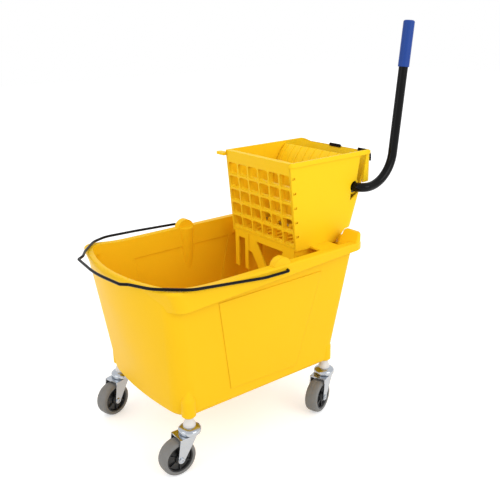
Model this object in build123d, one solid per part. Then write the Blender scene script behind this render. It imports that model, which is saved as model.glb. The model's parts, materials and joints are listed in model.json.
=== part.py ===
from build123d import *
import math
import os

# Mop bucket on four swivel casters with a side press wringer. Sizes in millimetres.
# Working frame: X runs back from the bucket's front rim corners, Y across, Z up from the floor.
# The finished pieces are moved along X at the end, so that the origin is the centre of the box below.

# Bucket
RIM_TOP = 399.0
RIM_HALF_WIDTH = 190.0
RIM_CORNER_X = -12.0
RIM_BOW_X = -50.0
RIM_REAR_X = 487.0
RIM_RISE = 6.8
SKIRT_FRONT_Z = 358.9
SKIRT_REAR_Z = 384.6
WALL = 3.5
LIP_WIDTH = 14.0
LIP_LOW_Z = 370.0
LIP_HIGH_Z = 384.0
FLOOR_UNDERSIDE = 115.0
TUB_TOP_HALF = 173.0
TUB_FLOOR_HALF = 151.0
TUB_FLOOR_FLARE = 7.0
PANEL_SWELL = 1.6
TUB_TOP_FRONT = (-13.0, -53.0)
TUB_FLOOR_FRONT = (13.0, 0.0)
TUB_TOP_REAR = 473.0
TUB_FLOOR_REAR = 413.0
SHOULDER_TOP = 418.0
SHOULDER_INNER_Y = 134.0
SADDLE_TOP = 383.0
SADDLE_HALF = 119.0
LEDGE_TOP = 385.0
LEDGE_INNER_Y = 146.0
LEDGE_FRONT_X = 380.0
LEDGE_REAR_X = 448.0
BAIL_X = 253.0
BAIL_Z = 388.0
BAIL_FRONT_Z = 411.0
EAR_X = 243.0
EAR_RADIUS = 22.0

# Casters
CASTER_FRONT_X = 29.0
CASTER_REAR_X = 403.0
CASTER_Y = 146.5
SOCKET_BOTTOM = 117.0
SOCKET_RADIUS = 14.8
SOCKET_BORE = 8.0
STEM_RADIUS = 5.0
BUSH_BOTTOM = 97.5
BUSH_NECK = 9.5
CUP_RADIUS = 23.5
CROWN_TOP = 83.0
CROWN_THICKNESS = 3.0
WHEEL_RADIUS = 38.0
WHEEL_WIDTH = 30.0
HUB_RADIUS = 29.0
TRAIL = 32.4
FORK_GAP = 34.0
FORK_SHEET = 2.5
AXLE_RADIUS = 4.0
SLEEVE_RADIUS = 6.0

# Wringer
WRINGER_HALF = 114.0
WRINGER_TOP = 582.0
WRINGER_FRONT_TOP_X = 327.0
WRINGER_FRONT_LOW_X = 344.0
WRINGER_LOW_Z = 385.0
WRINGER_REAR_LOW = (524.0, 410.0)
WRINGER_REAR_TOP_X = 582.0
REAR_CORNER = 24.0
TOP_CORNER = 20.0
HOOD_BOTTOM_Z = 508.0
WRINGER_WALL = 3.5
GRILLE_THICKNESS = 11.0
GRILLE_BOTTOM_Z = 391.0
GRILLE_TOP_Z = 581.0
GRILLE_COLUMNS = 6
GRILLE_ROWS = 5
ROW_PITCH = 32.5
ROW_START_Z = 394.0
TICK_RISE = 8.0
LEG_BOTTOM_Z = 296.0
WING_FRONT_X = 385.0
WING_REAR_X = 440.0
WING_HALF = 163.0

# Lever and press mechanism
TUBE_RADIUS = 10.5
TUBE_BORE = 8.5
PIVOT_X = 522.0
PIVOT_Z = 502.0
LEVER_Y = -136.0
ELBOW_RADIUS = 20.0
BEND_RADIUS = 78.0
LEVER_CORNER_X = 613.0
LEVER_LEAN = 6.7
LEVER_TOP = 862.0
GRIP_RADIUS = 12.5
GRIP_LENGTH = 99.0
TUBE_FAR_Y = 121.0
LEVER_TRAVEL = 60.0
PLATE_RATIO = 0.79
PLATE_HINGE = (432.0, 399.5)
PLATE_HALF = 108.0
PLATE_SHEET = 4.0
ARM_LENGTH = 67.0
ARM_Y = 62.0
ARM_SHEET = 6.0
ROLLER_RADIUS = 6.0
FORK_RIB = 12.0
FORK_PRONG = 3.4
FORK_CLEARANCE = 2.6
FORK_ROOT = 62.0
FORK_TIP = 90.0
PIN_RADIUS = 3.0
BOLT_OFFSET = 19.5
ROD_RADIUS = 3.0
STOP_RADIUS = 2.5
SPRING_WIRE = 1.5
SPRING_SWEEP = 1740
SPRING_PITCH = 3.8
SPRING_COIL_RADIUS = 14.0
SPRING_Y = 36.0
SPRING_LEG = 26.0
RUNNING_GAP = 0.08

CASTERS = {
    "front_left": (CASTER_FRONT_X, -CASTER_Y, -2.0),
    "front_right": (CASTER_FRONT_X, CASTER_Y, 15.0),
    "rear_left": (CASTER_REAR_X, -CASTER_Y, 20.0),
    "rear_right": (CASTER_REAR_X, CASTER_Y, 8.0),
}

nodes = {}


def plan_outline(z, front, rear_x, half_width, front_radius, rear_radius, flare=0.0):
    """Level outline with a bowed front; front is the corner's and the bow's X, flare widens the rear."""
    corner_x, bow_x = front
    rear_half = half_width + flare
    bow = ThreePointArc((corner_x, half_width), (bow_x, 0), (corner_x, -half_width))
    near_side = Line((corner_x, -half_width), (rear_x, -rear_half))
    rear = Line((rear_x, -rear_half), (rear_x, rear_half))
    far_side = Line((rear_x, rear_half), (corner_x, half_width))
    face = make_face(bow + near_side + rear + far_side)
    middle_x = (corner_x + rear_x) / 2
    face = fillet(face.vertices().filter_by(lambda v: v.X < middle_x), front_radius)
    face = fillet(face.vertices().filter_by(lambda v: v.X > rear_x - 1), rear_radius)
    return Pos(0, 0, z) * face


def tub_outline(z, inset, lip=0.0):
    """Outline of the tapered tub at a height, drawn in by inset, and at the front by lip as well."""
    share = (z - FLOOR_UNDERSIDE) / (RIM_TOP - FLOOR_UNDERSIDE)
    front = tuple(a + (b - a) * share + inset + lip for a, b in zip(TUB_FLOOR_FRONT, TUB_TOP_FRONT))
    rear = TUB_FLOOR_REAR + (TUB_TOP_REAR - TUB_FLOOR_REAR) * share - inset
    half_width = TUB_FLOOR_HALF + (TUB_TOP_HALF - TUB_FLOOR_HALF) * share - inset
    flare = TUB_FLOOR_FLARE * (1 - share)
    return plan_outline(z, front, rear, half_width, 46 - 12 * share - inset, 22 - inset, flare)


def tub_loft(inset, bottom_z, top_z):
    return loft([tub_outline(bottom_z, inset), tub_outline(top_z, inset)])


def rim_outline(z, inset):
    """Outline of the rim's skirt at a height; low down its front draws back into the tub."""
    drop = RIM_TOP - z
    front = (RIM_CORNER_X + inset + 0.3 * drop, RIM_BOW_X + inset + 0.35 * drop)
    return plan_outline(z, front, RIM_REAR_X - inset, RIM_HALF_WIDTH - inset, 26 - inset, 34 - inset)


def rim_block(inset, bottom_z, top_z):
    return loft([rim_outline(bottom_z, inset), rim_outline(top_z, inset)])


def above_rim(drop=0.0):
    """Space over the rim's top, which rises gently towards the front corners."""
    low_z = RIM_TOP - drop
    high_z = low_z + RIM_RISE
    middle = (35, (low_z + high_z) / 2)
    points = [(530, 470), (530, low_z), (90, low_z), middle, (-20, high_z), (-90, high_z), (-90, 470)]
    corners = [(x, 0, z) for x, z in points]
    low_arc = TangentArc(corners[2], corners[3], tangent=(-1, 0, 0))
    high_arc = TangentArc(corners[4], corners[3], tangent=(1, 0, 0))
    outline = Polyline(*corners[4:], *corners[:3]) + low_arc + high_arc
    return Pos(0, -220, 0) * extrude(make_face(outline), 440, dir=(0, 1, 0))


def soften_top(solid, radius):
    """Rounds the upper outer edge, but not the seams across the top."""
    edges = solid.edges().filter_by(lambda e: e.center().Z > RIM_TOP - 0.5)
    edges = edges.filter_by(lambda e: not (-30 < e.center().X < 460 and abs(e.center().Y) < 1))
    return fillet(edges, radius)


def prism_xz(points, y_low, y_high):
    """Solid with a side profile of X and Z points, between two Y planes."""
    face = make_face(Polyline(*[(x, 0, z) for x, z in points], close=True))
    return Pos(0, y_low, 0) * extrude(face, y_high - y_low, dir=(0, 1, 0))


def prism_yz(points, x_low, x_high):
    face = make_face(Polyline(*[(0, y, z) for y, z in points], close=True))
    return Pos(x_low, 0, 0) * extrude(face, x_high - x_low, dir=(1, 0, 0))


def rod_y(x, z, radius, y_low, y_high):
    turned = Rot(90, 0, 0) * Cylinder(radius, y_high - y_low)
    return Pos(x, (y_low + y_high) / 2, z) * turned


def rod_z(x, y, radius, z_low, z_high):
    return Pos(x, y, (z_low + z_high) / 2) * Cylinder(radius, z_high - z_low)


def block(x_low, x_high, y_low, y_high, z_low, z_high):
    centre = ((x_low + x_high) / 2, (y_low + y_high) / 2, (z_low + z_high) / 2)
    return Pos(*centre) * Box(x_high - x_low, y_high - y_low, z_high - z_low)


def bent_path(points, radii):
    """Straight runs joined by tangent arcs, one radius for each corner."""
    corners = [Vector(*point) for point in points]
    edges = []
    start = corners[0]
    for index, radius in enumerate(radii, 1):
        before = (corners[index] - corners[index - 1]).normalized()
        after = (corners[index + 1] - corners[index]).normalized()
        half_turn = math.radians(before.get_angle(after)) / 2
        reach = radius * math.tan(half_turn)
        arc_start = corners[index] - before * reach
        arc_end = corners[index] + after * reach
        inward = (after - before).normalized()
        centre = corners[index] + inward * (radius / math.cos(half_turn))
        arc_middle = centre - inward * radius
        edges.append(Edge.make_line(start, arc_start))
        edges.append(Edge.make_three_point_arc(arc_start, arc_middle, arc_end))
        start = arc_end
    edges.append(Edge.make_line(start, corners[-1]))
    return Wire(edges)


def sweep_round(path, radius):
    profile = Plane(origin=path @ 0, z_dir=path % 0) * Circle(radius)
    return sweep(profile, path=path)


def panel_band():
    """Space of the shallow raised panel on each side wall."""
    profile = [(96, 352), (128, 147), (304, 141), (366, 352)]
    return prism_xz(profile, -RIM_HALF_WIDTH, RIM_HALF_WIDTH)


def tub_cavity():
    """Inside of the tub; the front wall's top thickens inwards to a broad lip."""
    lip = LIP_WIDTH - WALL
    cavity = tub_loft(WALL, FLOOR_UNDERSIDE + 4, LIP_LOW_Z)
    cavity = fillet(cavity.edges().group_by(Axis.Z)[0], 9)
    cavity += loft([tub_outline(LIP_LOW_Z, WALL), tub_outline(LIP_HIGH_Z, WALL, lip)])
    cavity += loft([tub_outline(LIP_HIGH_Z, WALL, lip), tub_outline(RIM_TOP + 20, WALL, lip)])
    swollen = tub_loft(WALL - PANEL_SWELL, FLOOR_UNDERSIDE + 4, RIM_TOP - 20)
    return cavity + (swollen & panel_band())


def shoulder(side):
    """Hollow hump over a rear corner of the rim."""
    top = SHOULDER_TOP
    outside = [(447, 384), (451, 391), (469, top), (480, top), (486.5, top - 7), (486.5, 384)]
    inside = [(452, 380), (455, 390), (471, top - WALL), (478.5, top - WALL), (483, top - 9), (483, 380)]
    low_y, high_y = sorted((side * SHOULDER_INNER_Y, side * 200))
    hump = rim_block(1, 384, top) & prism_xz(outside, low_y, high_y)
    hump = fillet(hump.edges().filter_by(lambda e: e.center().Z > 403), 5)
    low_y, high_y = sorted((side * (SHOULDER_INNER_Y + WALL), side * 200))
    hollow = rim_block(1 + WALL, 380, top) & prism_xz(inside, low_y, high_y)
    return hump - hollow


def bucket():
    crest = RIM_TOP + RIM_RISE + 2
    tub = tub_loft(0, FLOOR_UNDERSIDE, crest)
    tub = fillet(tub.edges().group_by(Axis.Z)[0], 12)
    tub = soften_top(tub - above_rim(), 8)
    skirt_low_z = SKIRT_FRONT_Z - 4
    under_skirt = prism_xz(
        [(-90, SKIRT_FRONT_Z - 1), (500, SKIRT_REAR_Z), (500, skirt_low_z - 9), (-90, skirt_low_z - 9)],
        -RIM_HALF_WIDTH - 10, RIM_HALF_WIDTH + 10,
    )
    rim = soften_top(rim_block(0, skirt_low_z, crest) - above_rim(), 5)
    hollow = rim_block(WALL, skirt_low_z, crest) - above_rim(WALL)
    shell = (rim - hollow - under_skirt) + tub

    # Shallow raised panel on each side wall, with its lower lip
    shell += tub_loft(-PANEL_SWELL, FLOOR_UNDERSIDE, RIM_TOP - 1) & panel_band()

    # The rear rim dips between the shoulders, under the wringer's heel
    shell -= block(430, 500, -SADDLE_HALF, SADDLE_HALF, SADDLE_TOP, 420)
    sill = rim_block(0.5, SADDLE_TOP - WALL, SADDLE_TOP)
    edge = rim_block(0.5, SADDLE_TOP - 11, SADDLE_TOP) - rim_block(0.5 + WALL, SADDLE_TOP - 11, SADDLE_TOP)
    shell += (sill + edge) & block(460, 500, -SADDLE_HALF - 3, SADDLE_HALF + 3, 300, 400)
    for side in (-1, 1):
        end = sorted((side * SADDLE_HALF, side * (SADDLE_HALF + WALL)))
        cheek = rim_block(0.5, SADDLE_TOP - WALL, RIM_TOP - 1)
        shell += cheek & block(460, 500, *end, 300, 400)

    # Sockets for the caster stems, fading out up each corner
    for x, y, _ in CASTERS.values():
        boss = rod_z(x, y, SOCKET_RADIUS, SOCKET_BOTTOM, 150)
        boss = chamfer(boss.edges().group_by(Axis.Z)[0], 3.4)
        shell += boss + Pos(x, y, 165) * Cone(SOCKET_RADIUS, 6, 30)

    shell -= tub_cavity()
    for x, y, _ in CASTERS.values():
        shell += rod_z(x, y, SOCKET_RADIUS, SOCKET_BOTTOM + 4, 152) + Pos(x, y, 152) * Sphere(SOCKET_RADIUS)
    shell += shoulder(-1) + shoulder(1)

    # Half round columns inside the side walls end in the ears that carry the bail
    for side in (-1, 1):
        column = Pos(EAR_X, side * (TUB_TOP_HALF + 2), RIM_TOP - 1) * Rot(side * 4.48, 0, 0) * (
            Pos(0, 0, -136) * Cylinder(19, 272)
        )
        column &= tub_loft(0, FLOOR_UNDERSIDE + 2, RIM_TOP)
        ear = rod_y(EAR_X, BAIL_Z + 6, EAR_RADIUS, *sorted((side * 170.5, side * 187)))
        boss = rod_y(BAIL_X, BAIL_Z, 9, *sorted((side * 174.5, side * 189)))
        shell += column + (ear & block(200, 320, -200, 200, RIM_TOP - WALL, 430)) + boss
        shell -= rod_y(BAIL_X, BAIL_Z, 3.08, *sorted((side * 176, side * 195)))

    # Ledges inside the rear half, where the wringer's wings rest
    for side in (-1, 1):
        ledge = [
            (side * (TUB_TOP_HALF - 2), LEDGE_TOP), (side * LEDGE_INNER_Y, LEDGE_TOP),
            (side * LEDGE_INNER_Y, LEDGE_TOP - 5), (side * (TUB_TOP_HALF - 4), LEDGE_TOP - 34),
        ]
        shelf = prism_yz(ledge, LEDGE_FRONT_X, LEDGE_REAR_X)
        shell += shelf & tub_loft(0, FLOOR_UNDERSIDE + 2, RIM_TOP)

    for x, y, _ in CASTERS.values():
        shell -= rod_z(x, y, SOCKET_BORE, SOCKET_BOTTOM, 152)
        shell -= rod_z(x, y, BUSH_NECK + 0.3, FLOOR_UNDERSIDE - 1, SOCKET_BOTTOM)
    return shell


def revolve_z(points):
    face = make_face(Polyline(*[(r, 0, z) for r, z in points], close=True))
    return revolve(face, Axis.Z)


def revolve_y(points):
    face = make_face(Polyline(*[(r, y, 0) for r, y in points], close=True))
    return revolve(face, Axis.Y)


def caster(corner, x, y, heading):
    """One stem caster; heading turns the wheel about the stem from straight ahead."""
    at = Pos(x, y, 0) * Rot(0, 0, heading)
    wheel_at = Pos(-TRAIL, 0, WHEEL_RADIUS)

    top = CROWN_TOP
    bush = revolve_z([
        (STEM_RADIUS, BUSH_BOTTOM), (12.7, BUSH_BOTTOM), (12.7, BUSH_BOTTOM + 5),
        (BUSH_NECK, BUSH_BOTTOM + 12), (BUSH_NECK, SOCKET_BOTTOM), (SOCKET_BORE, SOCKET_BOTTOM),
        (SOCKET_BORE, 151), (STEM_RADIUS, 151),
    ])
    stem = rod_z(0, 0, STEM_RADIUS, top - 6.5, 148)
    collar_z = top - CROWN_THICKNESS - 0.4
    stem += revolve_z([(0, top - 9), (7.5, top - 9), (8.5, top - 7), (8.5, collar_z), (0, collar_z)])
    stem = fillet(stem.edges().filter_by(GeomType.CIRCLE).sort_by(Axis.Z)[-1], 2)
    cup = revolve_z([
        (STEM_RADIUS, top + 5.3), (20.5, top + 5.3), (20.5, top + 0.4), (CUP_RADIUS, top + 0.4),
        (CUP_RADIUS, top + 7), (21.8, top + 10), (17, top + 13), (13, BUSH_BOTTOM), (STEM_RADIUS, BUSH_BOTTOM),
    ])
    balls = [
        Pos(17 * math.cos(a), 17 * math.sin(a), top + 2.75) * Sphere(2.4)
        for a in (math.radians(30 * k) for k in range(12))
    ]

    outer = FORK_GAP / 2 + FORK_SHEET
    crown = Pos(0, 0, top - CROWN_THICKNESS) * extrude(
        Circle(outer) + Pos(-16, 0) * Rectangle(32, 2 * outer), CROWN_THICKNESS,
    )
    crown -= rod_z(0, 0, STEM_RADIUS + RUNNING_GAP, top - 10, top + 5)
    arm_profile = [(-TRAIL - 7.6, 38), (-TRAIL, top), (4, top), (4, top - 4), (-TRAIL + 7.2, 36)]
    fork = crown
    for side in (-1, 1):
        sheet = sorted((side * FORK_GAP / 2, side * outer))
        fork += prism_xz(arm_profile, *sheet) + rod_y(-TRAIL, WHEEL_RADIUS, 7.6, *sheet)
    fork -= rod_y(-TRAIL, WHEEL_RADIUS, AXLE_RADIUS, -30, 30)

    half = WHEEL_WIDTH / 2
    rim = WHEEL_RADIUS
    tyre = wheel_at * revolve_y([
        (HUB_RADIUS, -half + 1.5), (HUB_RADIUS + 2, -half), (rim - 3, -half + 0.5), (rim - 0.9, -half + 3),
        (rim, -5), (rim, 5), (rim - 0.9, half - 3), (rim - 3, half - 0.5),
        (HUB_RADIUS + 2, half), (HUB_RADIUS, half - 1.5),
    ])
    bore = SLEEVE_RADIUS + RUNNING_GAP
    end = FORK_GAP / 2 - 0.5
    hub = wheel_at * revolve_y([
        (bore, -end), (10, -end), (11, -10), (23, -7), (26, -half + 2), (HUB_RADIUS, -half + 1.5),
        (HUB_RADIUS, half - 1.5), (26, half - 2), (23, 7), (11, 10), (10, end), (bore, end),
    ])
    sleeve = wheel_at * revolve_y([
        (AXLE_RADIUS, -FORK_GAP / 2), (SLEEVE_RADIUS, -FORK_GAP / 2),
        (SLEEVE_RADIUS, FORK_GAP / 2), (AXLE_RADIUS, FORK_GAP / 2),
    ])
    bolt = rod_y(-TRAIL, WHEEL_RADIUS, AXLE_RADIUS, -outer - 1, outer + 7)
    head = rod_y(-TRAIL, WHEEL_RADIUS, 5.8, -outer - 2.6, -outer)
    head = fillet(head.faces().sort_by(Axis.Y)[0].edges(), 1.6)
    bolt += head - rod_y(-TRAIL, WHEEL_RADIUS, 2.4, -outer - 3, -outer - 1.2)
    nut = Pos(-TRAIL, outer, WHEEL_RADIUS) * Rot(-90, 0, 0) * extrude(RegularPolygon(7, 6), 6)
    nut = fillet(nut.faces().sort_by(Axis.Y)[-1].edges(), 0.8)
    nut -= rod_y(-TRAIL, WHEEL_RADIUS, AXLE_RADIUS, 0, 40)

    nodes["stem_bush_" + corner] = at * bush
    nodes["caster_stem_" + corner] = at * stem
    nodes["swivel_cup_" + corner] = at * cup
    nodes["caster_fork_" + corner] = at * fork
    nodes["tyre_" + corner] = at * tyre
    nodes["wheel_hub_" + corner] = at * hub
    nodes["axle_sleeve_" + corner] = at * sleeve
    nodes["axle_bolt_" + corner] = at * bolt
    nodes["axle_nut_" + corner] = at * nut
    return [at * ball for ball in balls]


def bail():
    """Steel wire handle, folded forward on the front rim, with a hand grip bend."""
    arm_y = 197.0
    z = BAIL_FRONT_Z
    near = [
        (BAIL_X, -178, BAIL_Z), (BAIL_X, -arm_y, BAIL_Z), (190, -arm_y, BAIL_Z + 1),
        (20, -arm_y, z - 2), (-37, -150, z), (-57, -103, z), (-69, -90, z),
    ]
    far = [
        (-69, 89, z), (-53, 102, z), (-37, 127, z), (6, 178, z - 1), (44, arm_y, z - 2),
        (120, arm_y, z - 4), (228, arm_y, BAIL_Z + 14), (BAIL_X, arm_y, BAIL_Z), (BAIL_X, 178, BAIL_Z),
    ]
    bends = [6, 200, 40, 60, 9, 9, 300, 9, 7, 40, 60, 60, 200, 12, 6]
    return sweep_round(bent_path(near + [(-79, -8, z)] + far, bends), 3.0)


def rear_x(z):
    """X of the wringer's sloping rear face at a height."""
    low_x, low_z = WRINGER_REAR_LOW
    return low_x + (WRINGER_REAR_TOP_X - low_x) * (z - low_z) / (573.0 - low_z)


def front_x(z):
    """X of the wringer's front face at a height."""
    rise = (WRINGER_TOP - z) / (WRINGER_TOP - WRINGER_LOW_Z)
    return WRINGER_FRONT_TOP_X + (WRINGER_FRONT_LOW_X - WRINGER_FRONT_TOP_X) * rise


def round_rear_corners(solid, radius):
    """Rounds the two upright edges at the rear."""
    upright = solid.edges().filter_by(lambda e: abs((e @ 0 - e @ 1).Z) > 5)
    return fillet(upright.filter_by(lambda e: e.center().X > 540), radius)


def row_z(row):
    """Height of the middle of a row of the grille's openings."""
    return ROW_START_Z + (row + 0.5) * ROW_PITCH


def wringer():
    low_x, low_z = WRINGER_REAR_LOW
    outer_profile = [
        (front_x(WRINGER_TOP), WRINGER_TOP), (front_x(WRINGER_LOW_Z), WRINGER_LOW_Z), (462, 383),
        (474, 389), (493, 408), (low_x, low_z), (rear_x(WRINGER_TOP), WRINGER_TOP),
    ]
    outer = prism_xz(outer_profile, -WRINGER_HALF, WRINGER_HALF)
    outer = round_rear_corners(outer, REAR_CORNER)
    w = WRINGER_WALL
    inner_profile = [
        (front_x(600) - 30, 600), (front_x(389) - 30, 389), (460, 387), (471, 392), (490, 411.5),
        (low_x - w, low_z + 1.5), (rear_x(600) - w - 1, 600),
    ]
    inner = prism_xz(inner_profile, -WRINGER_HALF + w, WRINGER_HALF - w)
    inner = round_rear_corners(inner, REAR_CORNER - w)
    body = outer - inner

    # The wall under the grille, and the lip round the open top
    sill_z = GRILLE_BOTTOM_Z - 0.4
    apron_profile = [
        (front_x(sill_z), sill_z), (front_x(WRINGER_LOW_Z), WRINGER_LOW_Z),
        (front_x(WRINGER_LOW_Z) + 12, WRINGER_LOW_Z), (front_x(sill_z) + 12, sill_z),
    ]
    body += prism_xz(apron_profile, -WRINGER_HALF, WRINGER_HALF)
    back_x = rear_x(573)
    lip = block(324, back_x + 2, -WRINGER_HALF - 3, WRINGER_HALF + 3, 572, WRINGER_TOP)
    lip = fillet(lip.edges().filter_by(Axis.Z).group_by(Axis.X)[0], 12)
    lip = round_rear_corners(lip, REAR_CORNER + 3)
    lip = fillet(lip.faces().sort_by(Axis.Z)[-1].edges(), 2.5)
    mouth = block(320, back_x - w - 1, -WRINGER_HALF + w, WRINGER_HALF - w, 560, 590)
    body += lip - round_rear_corners(mouth, REAR_CORNER - w)

    # Hood, which hangs straight down from the lip round the sloping rear wall
    hood = block(536, back_x, -WRINGER_HALF, WRINGER_HALF, HOOD_BOTTOM_Z, 575)
    hollow = block(530, back_x - w, -WRINGER_HALF + w, WRINGER_HALF - w, HOOD_BOTTOM_Z - 5, 580)
    body += round_rear_corners(hood, REAR_CORNER) - round_rear_corners(hollow, REAR_CORNER - w)

    # The top of the rear edge is rounded over, below the side lips
    arc_x, arc_z = back_x - TOP_CORNER, WRINGER_TOP - TOP_CORNER
    corner = block(arc_x, back_x + 20, -130, 130, arc_z, WRINGER_TOP + 20)
    body -= corner - rod_y(arc_x, arc_z, TOP_CORNER, -130, 130)

    # Bearing bosses for the lever tube
    for side in (-1, 1):
        boss = rod_y(PIVOT_X, PIVOT_Z, 18, *sorted((side * (WRINGER_HALF - 14), side * WRINGER_HALF)))
        body += boss & outer
    body -= rod_y(PIVOT_X, PIVOT_Z, 13.5, -130, 130)
    slot = [(538, 573.5), (527, 513), (511, 499), (508, 472), (536, 490), (547, 500), (558, 573.5)]
    body -= prism_xz(slot, -WRINGER_HALF - 1, -WRINGER_HALF + 6)

    # Notches in the front edge of each side wall, one for each row of the grille
    for row in range(GRILLE_ROWS):
        z = row_z(row) + TICK_RISE
        for y in (-WRINGER_HALF, WRINGER_HALF):
            body -= block(front_x(z) + 2.6, front_x(z) + 11, y - 5, y + 5, z - 2.4, z + 2.2)

    # Drain slots in the floor
    for column in range(-4, 5):
        body -= block(362, 430, column * 22 - 5, column * 22 + 5, WRINGER_LOW_Z - 2, 392)

    # Wings that rest on the bucket's ledges
    for side in (-1, 1):
        reach = sorted((side * (WRINGER_HALF - 2), side * WING_HALF))
        body += block(WING_FRONT_X, WING_REAR_X, *reach, LEDGE_TOP, LEDGE_TOP + 4)

    # Open frame under the chamber that stands in the bucket and drains the water
    web = block(344, 348, -108, 108, LEG_BOTTOM_Z, WRINGER_LOW_Z + 2)
    web -= prism_yz([(27, 374), (-70, 374), (-66, 366), (-16, 318), (-10, 318)], 330, 360)
    web -= prism_yz([(50, 388), (56, 388), (56, 344), (50, 344)], 330, 345.5)
    web -= prism_yz([(44, 344), (58, 344), (58, 296), (20, 296), (20, 312)], 330, 360)
    web -= prism_yz([(-30, 312), (2, 312), (-8, 290), (-22, 290)], 330, 360)
    web -= prism_yz([(-88, 350), (-76, 356), (-40, 318), (-40, 290), (-88, 290)], 330, 360)
    web -= prism_yz([(70, 372), (94, 372), (94, 290), (70, 290)], 330, 360)
    body += web
    for side in (-1, 1):
        cheek = prism_xz(
            [(344, 387), (344, LEG_BOTTOM_Z), (362, LEG_BOTTOM_Z), (376, 352), (402, 352),
             (412, LEG_BOTTOM_Z), (424, LEG_BOTTOM_Z), (424, 387)],
            *sorted((side * 104, side * 108)),
        )
        body += cheek
    body += block(420, 424, -108, 108, 350, 387)
    # Tab at the front corner to lift the wringer by
    tab = block(320, 336, WRINGER_HALF - 1, 146, 569, 575)
    body += fillet(tab.edges().filter_by(Axis.Z).group_by(Axis.Y)[-1], 7)

    # Knuckles for the press plate's hinge rod
    hinge_x, hinge_z = PLATE_HINGE
    for y in (-78, 0, 78):
        body += block(hinge_x - 6, hinge_x + 6, y - 5, y + 5, 387, hinge_z) + rod_y(hinge_x, hinge_z, 6, y - 5, y + 5)
    body -= rod_y(hinge_x, hinge_z, ROD_RADIUS + RUNNING_GAP, -WRINGER_HALF + 1, WRINGER_HALF - 1)
    return body


def grille():
    """Front grille of rounded square openings under a plain top band."""
    half = WRINGER_HALF - WRINGER_WALL - 0.7
    bottom = GRILLE_BOTTOM_Z
    lean = math.degrees(math.atan2(front_x(bottom) - front_x(GRILLE_TOP_Z), GRILLE_TOP_Z - bottom))
    slope = math.cos(math.radians(lean))
    height = (GRILLE_TOP_Z - bottom) / slope
    pitch_y = 2 * half / GRILLE_COLUMNS
    frame = Pos(GRILLE_THICKNESS / 2, 0, height / 2) * Box(GRILLE_THICKNESS, 2 * half, height)
    hole = RectangleRounded(pitch_y - 7.0, ROW_PITCH - 7.0, 4)
    pocket = RectangleRounded(pitch_y - 4.5, ROW_PITCH - 4.5, 5)
    for row in range(GRILLE_ROWS):
        z = (row_z(row) - bottom) / slope
        for column in range(GRILLE_COLUMNS):
            y = -half + (column + 0.5) * pitch_y
            place = Plane(origin=(-1, y, z), x_dir=(0, 1, 0), z_dir=(1, 0, 0))
            frame -= extrude(place * hole, GRILLE_THICKNESS + 2)
            frame -= extrude(place * pocket, 5)
        for side in (-1, 1):
            reach = sorted((side * (half - 1), side * (WRINGER_HALF - 0.8)))
            tick_z = z + TICK_RISE / slope
            frame += block(3.6, 9.4, *reach, tick_z - 1.1, tick_z + 1.1)
    return Pos(front_x(bottom), 0, bottom) * Rot(0, -lean, 0) * frame


def turn(x, z, degrees):
    """Turns a side view vector about the Y axis, top towards the rear."""
    angle = math.radians(degrees)
    return (
        x * math.cos(angle) + z * math.sin(angle),
        -x * math.sin(angle) + z * math.cos(angle),
    )


def aim():
    """Distance and angles of the line from the plate's hinge to the lever's pivot."""
    dx = PIVOT_X - PLATE_HINGE[0]
    dz = PIVOT_Z - PLATE_HINGE[1]
    return math.hypot(dx, dz), math.degrees(math.atan2(dx, dz))


def arm_angle():
    """Arm's angle forward of straight down at rest; it points at the hinge in mid travel."""
    return aim()[1] - LEVER_TRAVEL / 2


def roller_centre():
    down = turn(0, -ARM_LENGTH, arm_angle())
    return PIVOT_X + down[0], PIVOT_Z + down[1]


def on_fork(along, across):
    """Point along the plate's fork from the hinge, and across it upwards."""
    angle = aim()[1] + PLATE_RATIO * LEVER_TRAVEL / 2
    dx, dz = turn(0, along, angle)
    up_x, up_z = turn(-across, 0, angle)
    return PLATE_HINGE[0] + dx + up_x, PLATE_HINGE[1] + dz + up_z


def press_plate():
    hinge_x, hinge_z = PLATE_HINGE
    face_line = [(452, 409), (463, 480), (480, 543), (506, 576)]
    curve = Spline(*[(x, 0, z) for x, z in face_line])
    back = [(x + PLATE_SHEET, z - 1) for x, z in face_line]
    back_curve = Spline(*[(x, 0, z) for x, z in back[::-1]])
    low = Line((back[0][0], 0, back[0][1]), (face_line[0][0], 0, face_line[0][1]))
    top = Line((face_line[-1][0], 0, face_line[-1][1]), (back[-1][0], 0, back[-1][1]))
    section = make_face(curve + top + back_curve + low)
    plate = Pos(0, -PLATE_HALF, 0) * extrude(section, 2 * PLATE_HALF, dir=(0, 1, 0))

    # Shallow ribs on the pressing face
    for column in range(-4, 5):
        rib = Pos(-1.8, column * 24 - 3, 0) * extrude(section, 6, dir=(0, 1, 0))
        plate += rib

    # Forks behind the face; each holds an arm's roller between two prongs
    slot_half = ROLLER_RADIUS + FORK_CLEARANCE
    outer_half = slot_half + FORK_PRONG
    fork_profile = [
        (455, 411), (464, 472), (469, 474), on_fork(62, outer_half), on_fork(FORK_TIP, outer_half),
        on_fork(FORK_TIP, -outer_half), on_fork(40, -outer_half),
    ]
    slot = [
        on_fork(FORK_ROOT, slot_half), on_fork(FORK_TIP + 5, slot_half),
        on_fork(FORK_TIP + 5, -slot_half), on_fork(FORK_ROOT, -slot_half),
    ]
    for side in (-1, 1):
        y_low = side * ARM_Y - FORK_RIB / 2
        fork = prism_xz(fork_profile, y_low, y_low + FORK_RIB)
        plate += fork - prism_xz(slot, y_low - 1, y_low + FORK_RIB + 1)

    # Lugs and knuckles at the hinge
    lug = [(hinge_x - 2, hinge_z + 5), (hinge_x + 4, hinge_z - 3), (459, 411), (455, 424)]
    for y in (-54, 54):
        plate += rod_y(hinge_x, hinge_z, 6, y - 10, y + 10) + prism_xz(lug, y - 10, y + 10)
    plate -= rod_y(hinge_x, hinge_z, ROD_RADIUS + RUNNING_GAP, -120, 120)
    return plate


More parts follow.
